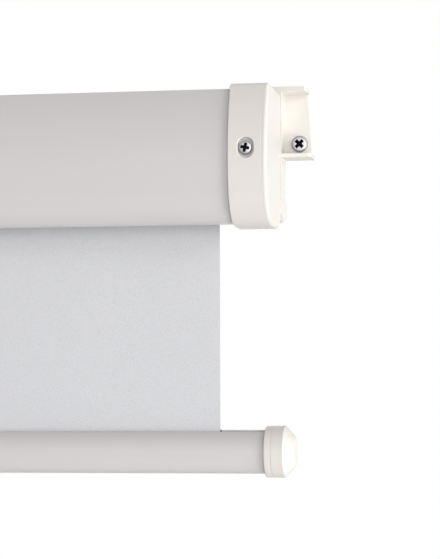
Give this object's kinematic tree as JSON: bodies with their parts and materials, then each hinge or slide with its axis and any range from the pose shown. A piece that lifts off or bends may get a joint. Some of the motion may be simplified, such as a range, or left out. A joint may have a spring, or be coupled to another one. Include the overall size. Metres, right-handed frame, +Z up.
{
  "type": "projection screen",
  "caption": "Wall-hung pull-down projection screen: slim casing with moulded end caps and wall brackets, spring roller, white fabric and a round bottom bar with a grip.",
  "frame": {"origin": "middle of the wall plane, at the height of the two wall screws", "axes": "+X along the casing, to the right for a viewer; +Y into the wall; +Z up"},
  "size_m": [1.3562, 0.0983, 0.264],
  "materials": {
    "grey_paint": "light grey paint on a rolled aluminium section, semi-gloss",
    "ivory_moulding": "ivory moulded plastic with a fine grain",
    "white_fabric": "matte white coated fabric with a fine embossed grain",
    "plated_screw": "zinc-plated pan-head screws with a Phillips recess",
    "plain_steel": "plain bright steel",
    "galvanised_tube": "thin galvanised steel tube",
    "natural_nylon": "natural nylon",
    "dark_spline": "dark plastic keder cord"
  },
  "bodies": {
    "housing": {"casing": "grey_paint", "end_cap_left": "ivory_moulding", "end_cap_right": "ivory_moulding", "wall_bracket_left": "ivory_moulding", "wall_bracket_right": "ivory_moulding", "wall_screw_left": "plated_screw", "wall_screw_right": "plated_screw", "cap_screw_left": "plated_screw", "cap_screw_right": "plated_screw", "roller_plate_left": "natural_nylon", "roller_plate_right": "natural_nylon", "spindle": "plain_steel", "ratchet_wheel": "plain_steel", "arbor_collar": "natural_nylon", "bearing_bush": "natural_nylon", "screen_fabric": "white_fabric"},
    "roller": {"roller_tube": "galvanised_tube", "fabric_roll": "white_fabric", "lock_end_plug": "natural_nylon", "lock_cover": "plain_steel", "torsion_spring": "plain_steel", "tube_support_plug": "natural_nylon", "idler_plug": "natural_nylon", "idler_pin": "plain_steel"},
    "upper_pawl": {"pawl_upper": "plain_steel"},
    "lower_pawl": {"pawl_lower": "plain_steel"},
    "bar": {"bar_tube": "grey_paint", "bar_end_cap_left": "ivory_moulding", "bar_end_cap_right": "ivory_moulding", "fabric_spline": "dark_spline", "pull_handle": "ivory_moulding", "handle_screw_left": "plated_screw", "handle_screw_right": "plated_screw"}
  },
  "joints": [
    {"name": "screen_pull", "type": "slide", "parent": "housing", "child": "bar", "axis": [0, 0, -1], "range_m": [-0.11308, 1.13084], "deforming": ["screen_fabric"]},
    {"name": "roller_spin", "type": "hinge", "parent": "housing", "child": "roller", "pos_m": [0, -0.04563, -0.01225], "axis": [-1, 0, 0], "range_deg": [-332, 3302]},
    {"name": "upper_pawl_swing", "type": "hinge", "parent": "roller", "child": "upper_pawl", "pos_m": [-0.6263, -0.04563, -0.00225], "axis": [1, 0, 0], "range_deg": [-6, 14]},
    {"name": "lower_pawl_swing", "type": "hinge", "parent": "roller", "child": "lower_pawl", "pos_m": [-0.6263, -0.04563, -0.02225], "axis": [1, 0, 0], "range_deg": [-6, 14]}
  ],
  "couplings": [
    {"joint": "roller_spin", "follows": "screen_pull", "rad_per_m": 50.932}
  ]
}
